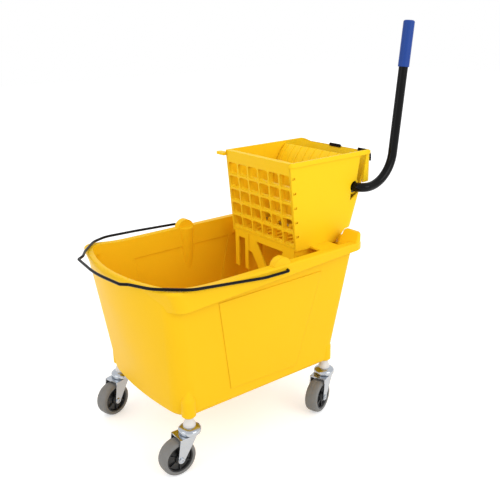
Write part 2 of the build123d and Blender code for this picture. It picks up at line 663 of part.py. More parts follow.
def lever_path():
    lean = math.radians(LEVER_LEAN)
    top_z = LEVER_TOP - 6
    top_x = LEVER_CORNER_X + (top_z - PIVOT_Z) * math.tan(lean)
    points = [
        (PIVOT_X, TUBE_FAR_Y, PIVOT_Z), (PIVOT_X, LEVER_Y, PIVOT_Z),
        (LEVER_CORNER_X, LEVER_Y, PIVOT_Z), (top_x, LEVER_Y, top_z),
    ]
    return bent_path(points, [ELBOW_RADIUS, BEND_RADIUS])


def lever():
    path = lever_path()
    tube = sweep_round(path, TUBE_RADIUS) - sweep_round(path, TUBE_BORE)
    for side in (-1, 1):
        tube -= rod_z(PIVOT_X, side * (ARM_Y + BOLT_OFFSET), PIN_RADIUS, PIVOT_Z - 20, PIVOT_Z + 20)
    return tube


def grip():
    """Moulded sleeve over the lever's upper end, closed and rounded at the top."""
    lean = math.radians(LEVER_LEAN)
    direction = (math.sin(lean), 0, math.cos(lean))
    end = lever_path() @ 1
    base = Plane(origin=end, z_dir=direction)
    length = GRIP_LENGTH
    body = base * (Pos(0, 0, -length / 2 + 2.8) * Cylinder(GRIP_RADIUS, length))
    body = fillet(body.edges().filter_by(GeomType.CIRCLE).sort_by(Axis.Z)[-1], 4)
    body -= base * (Pos(0, 0, -length / 2) * Cylinder(TUBE_RADIUS, length))
    return body


def on_arm(along, across):
    """Point along the arm at rest from the pivot, and across it to the rear."""
    dx, dz = turn(across, -along, arm_angle())
    return PIVOT_X + dx, PIVOT_Z + dz


def push_arm(side):
    """Steel arm clamped on the lever tube, with a fork of two cheeks for the roller."""
    x, z = roller_centre()
    y = side * ARM_Y
    cheek_middle = FORK_RIB / 2 + 1 + ARM_SHEET / 2
    arm = rod_y(PIVOT_X, PIVOT_Z, 16, *sorted((y + side * 7, y + side * 26)))
    bar = [on_arm(0, -14), on_arm(ARM_LENGTH, -8), on_arm(ARM_LENGTH, 8), on_arm(0, 14)]
    for offset in (-cheek_middle, cheek_middle):
        y_low = y + offset - ARM_SHEET / 2
        y_high = y_low + ARM_SHEET
        arm += rod_y(x, z, 8, y_low, y_high) + rod_y(PIVOT_X, PIVOT_Z, 16, y_low, y_high)
        arm += prism_xz(bar, y_low, y_high)
    bridge = [on_arm(26, -5), on_arm(34, -5), on_arm(34, 5), on_arm(26, 5)]
    arm += prism_xz(bridge, y - 8, y + 8)
    stop_x, stop_z = spring_stop()
    arm += rod_y(stop_x, stop_z, STOP_RADIUS, *sorted((side * (SPRING_Y + 6), side * (ARM_Y - 8))))
    arm -= rod_y(PIVOT_X, PIVOT_Z, TUBE_RADIUS, y - 30, y + 30)
    arm -= rod_y(x, z, PIN_RADIUS, y - 30, y + 30)
    arm -= rod_z(PIVOT_X, side * (ARM_Y + BOLT_OFFSET), PIN_RADIUS, PIVOT_Z - 30, PIVOT_Z + 30)
    return arm


def arm_screw(side):
    y = side * (ARM_Y + BOLT_OFFSET)
    shank = rod_z(PIVOT_X, y, PIN_RADIUS, PIVOT_Z - 20, PIVOT_Z + 17)
    head = Pos(PIVOT_X, y, PIVOT_Z + 16.05) * extrude(RegularPolygon(5.5, 6), 4.5)
    nut = Pos(PIVOT_X, y, PIVOT_Z - 21.05) * extrude(RegularPolygon(5.5, 6), 5)
    return shank + head + nut


def biarc(start, start_tangent, end, end_tangent):
    """Two tangent arcs between two points with given directions."""
    chord = end - start
    total = start_tangent + end_tangent
    blend = 2 * (1 - start_tangent.dot(end_tangent))
    along = chord.dot(total)
    reach = (-along + math.sqrt(along ** 2 + blend * chord.dot(chord))) / blend
    middle = (start + start_tangent * reach + end - end_tangent * reach) * 0.5
    first = Edge.make_tangent_arc(start, start_tangent, middle)
    return [first, Edge.make_tangent_arc(middle, first % 1, end)]


def coil_point(degrees):
    """Point on the coil's circle, measured from the top towards the rear."""
    angle = math.radians(degrees)
    return (
        PIVOT_X + SPRING_COIL_RADIUS * math.sin(angle),
        PIVOT_Z + SPRING_COIL_RADIUS * math.cos(angle),
    )


def spring_stop():
    """Centre of the arm's stop pin, behind the spring's moving leg."""
    end = math.radians(180 + SPRING_SWEEP)
    x, z = coil_point(180 + SPRING_SWEEP)
    reach = SPRING_LEG - 4
    gap = SPRING_WIRE + STOP_RADIUS + 0.15
    x += reach * math.cos(end) + gap * math.sin(end)
    z += -reach * math.sin(end) + gap * math.cos(end)
    return x, z


def return_spring(side):
    """Torsion spring round the lever tube; one leg bears on the rear wall, one on the arm."""
    middle_turn = SPRING_SWEEP / 2

    def at(sweep):
        y = side * (SPRING_Y + SPRING_PITCH * (sweep - middle_turn) / 360)
        x, z = coil_point(180 + sweep)
        return Vector(x, y, z)

    def heading(sweep):
        angle = math.radians(180 + sweep)
        return Vector(
            SPRING_COIL_RADIUS * math.cos(angle), side * SPRING_PITCH / (2 * math.pi),
            -SPRING_COIL_RADIUS * math.sin(angle),
        ).normalized()

    wall_x = rear_x(PIVOT_Z - SPRING_COIL_RADIUS) - WRINGER_WALL
    edges = [Edge.make_line(at(0) - heading(0) * (wall_x - PIVOT_X - 2.2), at(0))]
    for sweep in range(0, SPRING_SWEEP, 60):
        edges += biarc(at(sweep), heading(sweep), at(sweep + 60), heading(sweep + 60))
    end = SPRING_SWEEP
    edges.append(Edge.make_line(at(end), at(end) + heading(end) * SPRING_LEG))
    return sweep_round(Wire(edges), SPRING_WIRE)


def spring_least_gap():
    """Least space between two turns' surfaces, and to the lever tube."""
    points = []
    for step in range(0, SPRING_SWEEP + 1, 5):
        x, z = coil_point(180 + step)
        points.append((x, SPRING_PITCH * step / 360, z))
    least = min(
        math.dist(points[i], points[j]) for i in range(len(points)) for j in range(i + 36, len(points))
    )
    return least - 2 * SPRING_WIRE, SPRING_COIL_RADIUS - SPRING_WIRE - TUBE_RADIUS


def pivot_bush(side):
    flange = sorted((side * (WRINGER_HALF - 17), side * (WRINGER_HALF - 14)))
    barrel = sorted((side * (WRINGER_HALF - 14), side * (WRINGER_HALF - 6)))
    bush = rod_y(PIVOT_X, PIVOT_Z, 16.5, *flange) + rod_y(PIVOT_X, PIVOT_Z, 13.5, *barrel)
    return bush - rod_y(PIVOT_X, PIVOT_Z, TUBE_RADIUS + RUNNING_GAP, -130, 130)


def hanger(y_low, y_high):
    """Steel strap hooked over the wringer's rear edge."""
    outer = rear_x(573)
    arc_x, arc_z = outer - TOP_CORNER, WRINGER_TOP - TOP_CORNER
    inner = outer - WRINGER_WALL - 1.55
    bend = rod_y(arc_x, arc_z, TOP_CORNER + 2.45, y_low, y_high)
    bend -= rod_y(arc_x, arc_z, TOP_CORNER + 0.05, y_low, y_high)
    strap = bend & block(inner - 1, outer + 5, y_low, y_high, arc_z, WRINGER_TOP + 5)
    strap += block(outer + 0.05, outer + 2.45, y_low, y_high, arc_z - 10, arc_z)
    # The leg inside stays on the flat of the wall, clear of its rounded corner
    leg_low = max(y_low, REAR_CORNER - WRINGER_HALF - 2)
    return strap + block(inner - 2.4, inner, leg_low, y_high, 571.9, 578)


def build():
    nodes["bucket_shell"] = bucket()
    balls = []
    for corner, (x, y, heading) in CASTERS.items():
        balls += caster(corner, x, y, heading)
    nodes["swivel_balls"] = Compound(children=[ball.solid() for ball in balls])
    nodes["bail_handle"] = bail()
    nodes["wringer_body"] = wringer()
    nodes["front_grille"] = grille()
    nodes["press_plate"] = press_plate()
    hinge_x, hinge_z = PLATE_HINGE
    nodes["plate_hinge_rod"] = rod_y(hinge_x, hinge_z, ROD_RADIUS, -WRINGER_HALF + 1.5, WRINGER_HALF - 1.5)
    nodes["lever_tube"] = lever()
    nodes["lever_grip"] = grip()
    nodes["tube_end_cap"] = (
        rod_y(PIVOT_X, PIVOT_Z, TUBE_RADIUS + 1.5, TUBE_FAR_Y, TUBE_FAR_Y + 3)
        + rod_y(PIVOT_X, PIVOT_Z, TUBE_BORE, TUBE_FAR_Y - 10, TUBE_FAR_Y)
    )
    for side, name in ((-1, "left"), (1, "right")):
        x, z = roller_centre()
        y = side * ARM_Y
        nodes["push_arm_" + name] = push_arm(side)
        nodes["push_roller_" + name] = (
            rod_y(x, z, ROLLER_RADIUS, y - 6.9, y + 6.9) - rod_y(x, z, PIN_RADIUS, y - 7, y + 7)
        )
        nodes["roller_pin_" + name] = (
            rod_y(x, z, PIN_RADIUS, y - 13, y + 13)
            + rod_y(x, z, 5.0, y - 15, y - 13)
            + rod_y(x, z, 5.0, y + 13, y + 15)
        )
        nodes["arm_bolt_" + name] = arm_screw(side)
        nodes["return_spring_" + name] = return_spring(side)
        nodes["pivot_bush_" + name] = pivot_bush(side)
    nodes["hanger_strap_left"] = hanger(-104, -70)
    nodes["hanger_strap_right"] = hanger(-12, 24)


def write():
    os.makedirs("parts", exist_ok=True)
    boxes = [shape.bounding_box() for shape in nodes.values()]
    low = min(box.min.X for box in boxes)
    high = max(box.max.X for box in boxes)
    shift = Pos(-(low + high) / 2, 0, 0)
    print("X shift", round(-(low + high) / 2, 3), "X span", round(high - low, 2))
    print("Springs' least gaps", [round(gap, 2) for gap in spring_least_gap()])
    for name, shape in nodes.items():
        export_step(shift * shape, "parts/" + name + ".step")


build()
write()
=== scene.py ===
import functools
import json
import math

import bmesh
import bpy
from bpy.props import FloatProperty, FloatVectorProperty, IntProperty, PointerProperty
from bpy.types import Operator, Panel, PropertyGroup
from mathutils import Matrix, Vector


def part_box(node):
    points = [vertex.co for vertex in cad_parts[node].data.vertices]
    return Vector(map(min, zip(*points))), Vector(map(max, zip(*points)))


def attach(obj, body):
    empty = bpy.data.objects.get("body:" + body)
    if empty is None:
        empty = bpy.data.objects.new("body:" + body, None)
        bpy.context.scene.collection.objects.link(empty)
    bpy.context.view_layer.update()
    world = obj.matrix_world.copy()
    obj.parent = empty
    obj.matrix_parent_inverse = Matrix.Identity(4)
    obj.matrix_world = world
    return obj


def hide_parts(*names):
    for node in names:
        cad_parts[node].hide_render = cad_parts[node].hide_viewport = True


bl_info = {
    "name": "Side press mop wringer",
    "version": (1, 0, 0),
    "blender": (4, 5, 0),
    "location": "View3D > Sidebar > Mop wringer",
    "description": "Dresses the mop bucket, its wringer, lever and casters, and sets the stage",
    "category": "Object",
}

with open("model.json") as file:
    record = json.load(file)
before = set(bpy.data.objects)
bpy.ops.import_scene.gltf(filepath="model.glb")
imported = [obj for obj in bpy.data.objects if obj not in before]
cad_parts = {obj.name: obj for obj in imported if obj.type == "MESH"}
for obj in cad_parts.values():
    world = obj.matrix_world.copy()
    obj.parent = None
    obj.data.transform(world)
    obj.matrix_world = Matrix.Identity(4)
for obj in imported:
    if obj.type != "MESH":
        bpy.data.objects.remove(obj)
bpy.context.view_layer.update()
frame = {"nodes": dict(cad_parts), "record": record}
SLOTS = {part["node"]: part["material_slot"] for part in frame["record"]["subparts"]}
MM = 0.001
CORNERS = ("front_left", "front_right", "rear_left", "rear_right")
SHARP_ANGLE = math.radians(38)

# Inside the hub, in millimetres: the ribs' reach from the axle, half thickness, heights and eased edge
RIB_INNER, RIB_OUTER = 10.0, 25.9
RIB_HALF_THICKNESS = 1.3
RIB_LOW, RIB_HIGH = 6.5, 11.4
RIB_EDGE = 0.4

# Stage, in metres
FLOOR_HALF_SIZE = 9
LAMP_TARGET = (0, 0, 0.35)
KEY_SIZE, KEY_PLACE = (1.6, 1.4), (0.5, -2.3, 1.5)
FILL_SIZE, FILL_PLACE = (1.4, 1.4), (-2.3, 0.1, 1.2)
FLOOR_GLOW = 0.45


def linear(hex_code):
    """Linear red, green, blue and alpha of an sRGB hex value."""
    channels = []
    for start in (1, 3, 5):
        value = int(hex_code[start:start + 2], 16) / 255
        channels.append(value / 12.92 if value <= 0.04045 else ((value + 0.055) / 1.055) ** 2.4)
    return (*channels, 1.0)


def per_metre(millimetres):
    """Texture scale at which one feature has that size."""
    return 1000.0 / millimetres


def colour_property(name, description, hex_code):
    """Colour property with an sRGB hex value as its default."""
    return FloatVectorProperty(
        name=name, description=description, subtype="COLOR", size=4, min=0, max=1,
        default=linear(hex_code),
    )


class MopBucketColours(PropertyGroup):
    """Colours of the object's finishes."""

    bucket: colour_property("Bucket", "Yellow of the bucket's polypropylene", "#FAC618")
    # The wringer's yellow is the bucket's yellow made lighter. The extra lightness is painted light,
    # standing in for its brightly lit walls.
    wringer: colour_property("Wringer", "Yellow of the wringer's polypropylene", "#FFD21C")
    enamel: colour_property("Enamel", "Black of the lever and the bail", "#0C0C0D")
    grip: colour_property("Grip", "Blue of the lever's grip", "#254795")
    zinc: colour_property("Zinc", "Colour of the zinc plating", "#B9BEC5")
    steel: colour_property("Steel", "Colour of the bright drawn steel", "#B4B6B9")
    spring: colour_property("Spring", "Colour of the oiled spring wire", "#6F7175")
    tyre: colour_property("Tyre", "Grey of the tyres", "#7D7C7A")
    hub: colour_property("Hub", "Black of the wheel hubs", "#0D0D0F")
    nylon: colour_property("Nylon", "White of the bushes", "#DAD7D3")
    strap: colour_property("Strap", "Black of the hanger straps", "#17171A")
    floor: colour_property("Floor", "Floor of the stage", "#E9E9E9")


class MopBucketSizes(PropertyGroup):
    """Sizes of the details that are drawn over the CAD's solids."""

    edge_radius: FloatProperty(
        name="Moulded edge", description="Radius of the plastic's edges", default=1.6 * MM,
        min=0, unit="LENGTH",
    )
    pressed_radius: FloatProperty(
        name="Pressed edge", description="Radius of the pressed steel's edges", default=0.7 * MM,
        min=0, unit="LENGTH",
    )
    hub_ribs: IntProperty(name="Hub ribs", description="Ribs on each face of a wheel hub", default=6, min=3)
    tyre_segments: IntProperty(
        name="Turned segments", description="Segments round a turned piece", default=96, min=24,
    )


class MopBucketView(PropertyGroup):
    """Where the camera stands, and how bright the lamps are."""

    position: FloatVectorProperty(
        name="Camera", description="Camera's place", subtype="TRANSLATION", unit="LENGTH",
        default=(-0.866709, -1.142, 0.866),
    )
    yaw: FloatProperty(
        name="Yaw", description="Turn from straight back", default=math.radians(37.56), unit="ROTATION",
    )
    pitch: FloatProperty(
        name="Pitch", description="Look down from level", default=math.radians(19.03), unit="ROTATION",
    )
    roll: FloatProperty(
        name="Roll", description="Camera's lean", default=math.radians(-1.2), unit="ROTATION",
    )
    lens: FloatProperty(name="Lens", description="Focal length in millimetres", default=48.01)
    key_power: FloatProperty(
        name="Key lamp", description="Power of the key lamp", default=17, unit="POWER",
    )
    fill_power: FloatProperty(
        name="Fill lamp", description="Power of the fill lamp", default=7, unit="POWER",
    )
    sky: FloatProperty(name="Sky", description="Strength of the light from all round", default=0.98)


def colours():
    """The scene's colour settings."""
    return bpy.context.scene.mop_bucket_colours


def sizes():
    """The scene's size settings."""
    return bpy.context.scene.mop_bucket_sizes


def add_node(tree, kind, settings=None, values=None, links=None):
    """Adds a node: its settings, the values of its sockets, and the outputs linked to its sockets."""
    node = tree.nodes.new(kind)
    for name, value in (settings or {}).items():
        setattr(node, name, value)
    for name, value in (values or {}).items():
        node.inputs[name].default_value = value
    for name, source in (links or {}).items():
        tree.links.new(source, node.inputs[name])
    return node


def new_material(name, values):
    """Material with a Principled shader; returns it with its tree, shader and object coordinates."""
    material = bpy.data.materials.new(name)
    material.use_nodes = True
    tree = material.node_tree
    tree.nodes.clear()
    shader = add_node(tree, "ShaderNodeBsdfPrincipled", values=values)
    add_node(tree, "ShaderNodeOutputMaterial", links={"Surface": shader.outputs["BSDF"]})
    place = add_node(tree, "ShaderNodeTexCoord").outputs["Object"]
    return material, tree, shader, place


def shades(tree, factor, dark, light):
    """Colour that runs from dark to light with a factor."""
    ramp = add_node(tree, "ShaderNodeValToRGB", links={"Fac": factor})
    ramp.color_ramp.elements[0].color = dark
    ramp.color_ramp.elements[1].color = light
    return ramp.outputs["Color"]


def deeper(colour, share):
    """The same colour with a share of its light taken away."""
    return (*(channel * share for channel in colour[:3]), 1.0)


def moulded_polypropylene(name, colour, edge):
    """Injection moulded polypropylene.

    An even colour with a waxy sheen. A fine eroded grain breaks up the highlights, every edge is
    slightly round from the mould, and the gloss varies softly where the plastic cooled unevenly.
    """
    material, tree, shader, place = new_material(name, {
        "IOR": 1.49, "Specular IOR Level": 0.1,
    })
    cloud = add_node(tree, "ShaderNodeTexNoise", values={"Scale": per_metre(140), "Detail": 2.0},
                     links={"Vector": place})
    tone = shades(tree, cloud.outputs["Fac"], deeper(colour, 0.93), colour)
    tree.links.new(tone, shader.inputs["Base Color"])
    gloss = add_node(tree, "ShaderNodeMapRange", values={"To Min": 0.34, "To Max": 0.5},
                     links={"Value": cloud.outputs["Fac"]})
    tree.links.new(gloss.outputs["Result"], shader.inputs["Roughness"])
    # The real grain is about 0.2 mm; it is drawn at 1.4 mm so that it shows
    grain = add_node(tree, "ShaderNodeTexNoise", values={"Scale": per_metre(1.4), "Detail": 3.0},
                     links={"Vector": place})
    rounded = add_node(tree, "ShaderNodeBevel", {"samples": 6}, {"Radius": edge})
    bump = add_node(tree, "ShaderNodeBump", values={"Strength": 0.12, "Distance": 0.15 * MM},
                    links={"Height": grain.outputs["Fac"], "Normal": rounded.outputs["Normal"]})
    tree.links.new(bump.outputs["Normal"], shader.inputs["Normal"])
    return material


def zinc_plated_steel(name, colour, edge):
    """Pressed steel, zinc plated and bright dipped.

    A cool grey metal with broad soft reflections, faint cloudy patches of the plating and fine
    rolling marks that run one way.
    """
    material, tree, shader, place = new_material(name, {"Metallic": 1.0})
    cloud = add_node(tree, "ShaderNodeTexNoise", values={"Scale": per_metre(16), "Detail": 2.0},
                     links={"Vector": place})
    tone = shades(tree, cloud.outputs["Fac"], deeper(colour, 0.9), colour)
    tree.links.new(tone, shader.inputs["Base Color"])
    gloss = add_node(tree, "ShaderNodeMapRange", values={"To Min": 0.12, "To Max": 0.24},
                     links={"Value": cloud.outputs["Fac"]})
    tree.links.new(gloss.outputs["Result"], shader.inputs["Roughness"])
    stretched = add_node(tree, "ShaderNodeMapping", values={"Scale": (1.0, 1.0, 0.12)},
                         links={"Vector": place})
    marks = add_node(tree, "ShaderNodeTexNoise", values={"Scale": per_metre(0.8), "Detail": 2.0},
                     links={"Vector": stretched.outputs["Vector"]})
    rounded = add_node(tree, "ShaderNodeBevel", {"samples": 4}, {"Radius": edge})
    bump = add_node(tree, "ShaderNodeBump", values={"Strength": 0.05, "Distance": 0.03 * MM},
                    links={"Height": marks.outputs["Fac"], "Normal": rounded.outputs["Normal"]})
    tree.links.new(bump.outputs["Normal"], shader.inputs["Normal"])
    return material


def bright_drawn_steel(name, colour, roughness):
    """Drawn steel bar and wire, left bright under a film of oil.

    A grey metal with crisp reflections that are drawn out along fine die lines.
    """
    material, tree, shader, place = new_material(name, {"Metallic": 1.0, "Base Color": colour})
    stretched = add_node(tree, "ShaderNodeMapping", values={"Scale": (1.0, 0.08, 1.0)},
                         links={"Vector": place})
    lines = add_node(tree, "ShaderNodeTexNoise", values={"Scale": per_metre(0.5), "Detail": 2.0},
                     links={"Vector": stretched.outputs["Vector"]})
    gloss = add_node(tree, "ShaderNodeMapRange",
                     values={"To Min": roughness - 0.08, "To Max": roughness + 0.08},
                     links={"Value": lines.outputs["Fac"]})
    tree.links.new(gloss.outputs["Result"], shader.inputs["Roughness"])
    bump = add_node(tree, "ShaderNodeBump", values={"Strength": 0.1, "Distance": 0.04 * MM},
                    links={"Height": lines.outputs["Fac"]})
    tree.links.new(bump.outputs["Normal"], shader.inputs["Normal"])
    return material


def gloss_powder_coat(name, colour):
    """Steel tube and wire under a baked gloss black powder coat.

    Deep black with sharp white highlights, which wander a little on the coat's orange peel.
    """
    material, tree, shader, place = new_material(name, {
        "Base Color": colour, "IOR": 1.5, "Specular IOR Level": 0.13,
    })
    peel = add_node(tree, "ShaderNodeTexNoise", values={"Scale": per_metre(2.2), "Detail": 1.0},
                    links={"Vector": place})
    gloss = add_node(tree, "ShaderNodeMapRange", values={"To Min": 0.14, "To Max": 0.24},
                     links={"Value": peel.outputs["Fac"]})
    tree.links.new(gloss.outputs["Result"], shader.inputs["Roughness"])
    bump = add_node(tree, "ShaderNodeBump", values={"Strength": 0.12, "Distance": 0.08 * MM},
                    links={"Height": peel.outputs["Fac"]})
    tree.links.new(bump.outputs["Normal"], shader.inputs["Normal"])
    return material


def dipped_vinyl(name, colour):
    """Plasticised vinyl sleeve, dip moulded.

    A saturated blue with a soft broad highlight over a faintly leathery skin.
    """
    material, tree, shader, place = new_material(name, {"IOR": 1.52, "Specular IOR Level": 0.15})
    cloud = add_node(tree, "ShaderNodeTexNoise", values={"Scale": per_metre(18), "Detail": 2.0},
                     links={"Vector": place})
    tone = shades(tree, cloud.outputs["Fac"], deeper(colour, 0.85), colour)
    tree.links.new(tone, shader.inputs["Base Color"])
    gloss = add_node(tree, "ShaderNodeMapRange", values={"To Min": 0.32, "To Max": 0.46},
                     links={"Value": cloud.outputs["Fac"]})
    tree.links.new(gloss.outputs["Result"], shader.inputs["Roughness"])
    skin = add_node(tree, "ShaderNodeTexVoronoi", values={"Scale": per_metre(1.2)},
                    links={"Vector": place})
    bump = add_node(tree, "ShaderNodeBump", values={"Strength": 0.12, "Distance": 0.1 * MM},
                    links={"Height": skin.outputs["Distance"]})
    tree.links.new(bump.outputs["Normal"], shader.inputs["Normal"])
    return material


def thermoplastic_rubber(name, colour):
    """Non-marking thermoplastic rubber, moulded on the wheel.

    A dull warm grey that scatters light softly, with cloudy scuffs from the floor.
    """
    material, tree, shader, place = new_material(name, {"IOR": 1.5})
    scuffs = add_node(tree, "ShaderNodeTexNoise", values={"Scale": per_metre(9), "Detail": 4.0},
                      links={"Vector": place})
    tone = shades(tree, scuffs.outputs["Fac"], deeper(colour, 0.78), colour)
    tree.links.new(tone, shader.inputs["Base Color"])
    gloss = add_node(tree, "ShaderNodeMapRange", values={"To Min": 0.48, "To Max": 0.68},
                     links={"Value": scuffs.outputs["Fac"]})
    tree.links.new(gloss.outputs["Result"], shader.inputs["Roughness"])
    pores = add_node(tree, "ShaderNodeTexNoise", values={"Scale": per_metre(0.9), "Detail": 2.0},
                     links={"Vector": place})
    bump = add_node(tree, "ShaderNodeBump", values={"Strength": 0.15, "Distance": 0.1 * MM},
                    links={"Height": pores.outputs["Fac"]})
    tree.links.new(bump.outputs["Normal"], shader.inputs["Normal"])
    return material


def moulded_small_part(name, colour, roughness, ior):
    """Small moulding of nylon, polyethylene or black polypropylene.

    One even colour with a satin skin, and a faint unevenness from the mould that softens reflections.
    """
    material, tree, shader, place = new_material(name, {"Base Color": colour, "IOR": ior})
    skin = add_node(tree, "ShaderNodeTexNoise", values={"Scale": per_metre(3), "Detail": 2.0},
                    links={"Vector": place})
    gloss = add_node(tree, "ShaderNodeMapRange",
                     values={"To Min": roughness - 0.06, "To Max": roughness + 0.06},
                     links={"Value": skin.outputs["Fac"]})
    tree.links.new(gloss.outputs["Result"], shader.inputs["Roughness"])
    rounded = add_node(tree, "ShaderNodeBevel", {"samples": 4}, {"Radius": 0.5 * MM})
    bump = add_node(tree, "ShaderNodeBump", values={"Strength": 0.1, "Distance": 0.08 * MM},
                    links={"Height": skin.outputs["Fac"], "Normal": rounded.outputs["Normal"]})
    tree.links.new(bump.outputs["Normal"], shader.inputs["Normal"])
    return material


@functools.cache
def finishes():
    """All finishes by the record's slot names, made once."""
    c = colours()
    s = sizes()
    return {
        "bucket_plastic": moulded_polypropylene("polypropylene_moulded_bucket", c.bucket, s.edge_radius),
        # The wringer gets the bucket's plastic in a lighter yellow. The lightness is painted light for its
        # lit walls.
        "wringer_plastic": moulded_polypropylene("polypropylene_painted_lighter_wringer", c.wringer, s.edge_radius),
        "black_enamel": gloss_powder_coat("powder_coat_gloss_black", c.enamel),
        "grip_blue": dipped_vinyl("vinyl_dipped_blue", c.grip),
        "zinc_steel": zinc_plated_steel("steel_zinc_plated", c.zinc, s.pressed_radius),
        "plain_steel": bright_drawn_steel("steel_bright_drawn", c.steel, 0.3),
        "spring_steel": bright_drawn_steel("steel_spring_wire_oiled", c.spring, 0.34),
        "tyre_grey": thermoplastic_rubber("thermoplastic_rubber_grey", c.tyre),
        "hub_black": moulded_small_part("polypropylene_moulded_black", c.hub, 0.36, 1.49),
        "nylon_white": moulded_small_part("nylon_moulded_natural", c.nylon, 0.34, 1.53),
        "black_strap": gloss_powder_coat("powder_coat_satin_strap", c.strap),
        "cap_black": moulded_small_part("polyethylene_moulded_black", c.hub, 0.42, 1.51),
    }


def finish_nodes(*names):
    """Gives CAD nodes their finish; their meshes and shading stay as packed."""
    for name in names:
        node = frame["nodes"][name]
        material = finishes()[SLOTS[name]]
        if not node.material_slots:
            node.data.materials.append(material)
        for slot in node.material_slots:
            slot.material = material


def add_piece(name, bm, slot, body, replaced):
    """Turns a filled bmesh into a piece that rides on a body and replaces CAD nodes."""
    mesh = bpy.data.meshes.new(name)
    bmesh.ops.recalc_face_normals(bm, faces=bm.faces)
    bm.to_mesh(mesh)
    bm.free()
    mesh.shade_smooth()
    mesh.set_sharp_from_angle(angle=SHARP_ANGLE)
    mesh.materials.append(finishes()[slot])
    piece = bpy.data.objects.new(name, mesh)
    bpy.context.scene.collection.objects.link(piece)
    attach(piece, body)
    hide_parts(*replaced)


def centre_of(node):
    """Centre of a CAD node's box."""
    low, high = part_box(node)
    return (low + high) / 2


def placed(centre, axis, ahead):
    """Matrix from millimetres to the object: Z runs along axis, X towards ahead."""
    z = axis.normalized()
    y = z.cross(ahead).normalized()
    x = y.cross(z)
    turn = Matrix((x, y, z)).transposed().to_4x4()
    return Matrix.Translation(centre) @ turn @ Matrix.Scale(MM, 4)


def turn_profile(bm, profile, place, segments):
    """Adds a turned ring; the closed profile is radius and distance along the axis."""
    rings = []
    for radius, along in profile:
        ring = []
        for k in range(segments):
            angle = 2 * math.pi * k / segments
            point = Vector((radius * math.cos(angle), radius * math.sin(angle), along))
            ring.append(bm.verts.new(place @ point))
        rings.append(ring)
    for low, high in zip(rings, rings[1:] + rings[:1]):
        for k in range(segments):
            following = (k + 1) % segments
            bm.faces.new([low[k], low[following], high[following], high[k]])


def extrude_outline(bm, outline, low, high, place, edge):
    """Adds a plate with an outline of X and Y, from low to high along Z, with eased edges."""
    def ring(inset, level):
        centre = sum((Vector(point) for point in outline), Vector((0, 0))) / len(outline)
        made = []
        for point in outline:
            toward = centre - Vector(point)
            moved = Vector(point) + toward.normalized() * min(inset, toward.length)
            made.append(bm.verts.new(place @ Vector((moved.x, moved.y, level))))
        return made

    levels = [ring(edge, low), ring(0, low + edge), ring(0, high - edge), ring(edge, high)]
    count = len(outline)
    for lower, upper in zip(levels, levels[1:]):
        for k in range(count):
            bm.faces.new([lower[k], lower[(k + 1) % count], upper[(k + 1) % count], upper[k]])
    bm.faces.new(levels[0][::-1])
    bm.faces.new(levels[-1])


class BucketPiece(Operator):
    """The moulded bucket"""

    bl_idname = "mop_bucket.bucket"
    bl_label = "Bucket"

    def execute(self, context):
        finish_nodes("bucket_shell")
        return {"FINISHED"}


class BailPiece(Operator):
    """The bucket's wire handle"""

    bl_idname = "mop_bucket.bail"
    bl_label = "Bail"

    def execute(self, context):
        finish_nodes("bail_handle")
        return {"FINISHED"}


def tyre_profile():
    """Rounded tread with a mould line along its middle, in millimetres of radius and width."""
    half = [
        (29.0, 13.4), (30.0, 14.6), (31.6, 15.0), (33.4, 14.8), (35.2, 13.8), (36.6, 12.0),
        (37.5, 9.2), (37.9, 6.0), (38.0, 2.4), (38.0, 0.7), (37.7, 0.2),
    ]
    return half + [(radius, -along) for radius, along in half[::-1]]


def hub_profile():
    """Dished hub with a raised boss and rim on each face, in millimetres of radius and width."""
    half = [
        (6.1, 16.4), (9.4, 16.4), (10.2, 15.6), (11.2, 9.4), (21.8, 7.2), (24.8, 8.2),
        (26.0, 12.4), (26.9, 13.4), (29.0, 13.4),
    ]
    return half + [(radius, -along) for radius, along in half[::-1]]


def add_hub_ribs(bm, place):
    """Ribs on both faces of a hub, from its boss to its rim."""
    outline = [
        (RIB_INNER, -RIB_HALF_THICKNESS), (RIB_OUTER, -RIB_HALF_THICKNESS),
        (RIB_OUTER, RIB_HALF_THICKNESS), (RIB_INNER, RIB_HALF_THICKNESS),
    ]
    count = sizes().hub_ribs
    for rib in range(count):
        turned = place @ Matrix.Rotation(2 * math.pi * (rib + 0.5) / count, 4, "Z")
        for side in (1, -1):
            low, high = sorted((side * RIB_LOW, side * RIB_HIGH))
            extrude_outline(bm, outline, low, high, turned, RIB_EDGE)


def cup_profile():
    """Pressed ball race with a rolled rim, in millimetres of radius and height over its lower edge."""
    return [
        (5.1, 4.9), (20.3, 4.9), (20.5, 4.5), (20.5, 0.5), (20.9, 0.05), (22.7, 0.0),
        (23.3, 0.6), (23.5, 1.6), (23.5, 6.0), (23.2, 7.6), (22.4, 9.0), (21.0, 10.2),
        (18.8, 11.6), (16.8, 12.5), (14.6, 13.0), (13.4, 13.4), (12.9, 14.0), (5.1, 14.0),
    ]


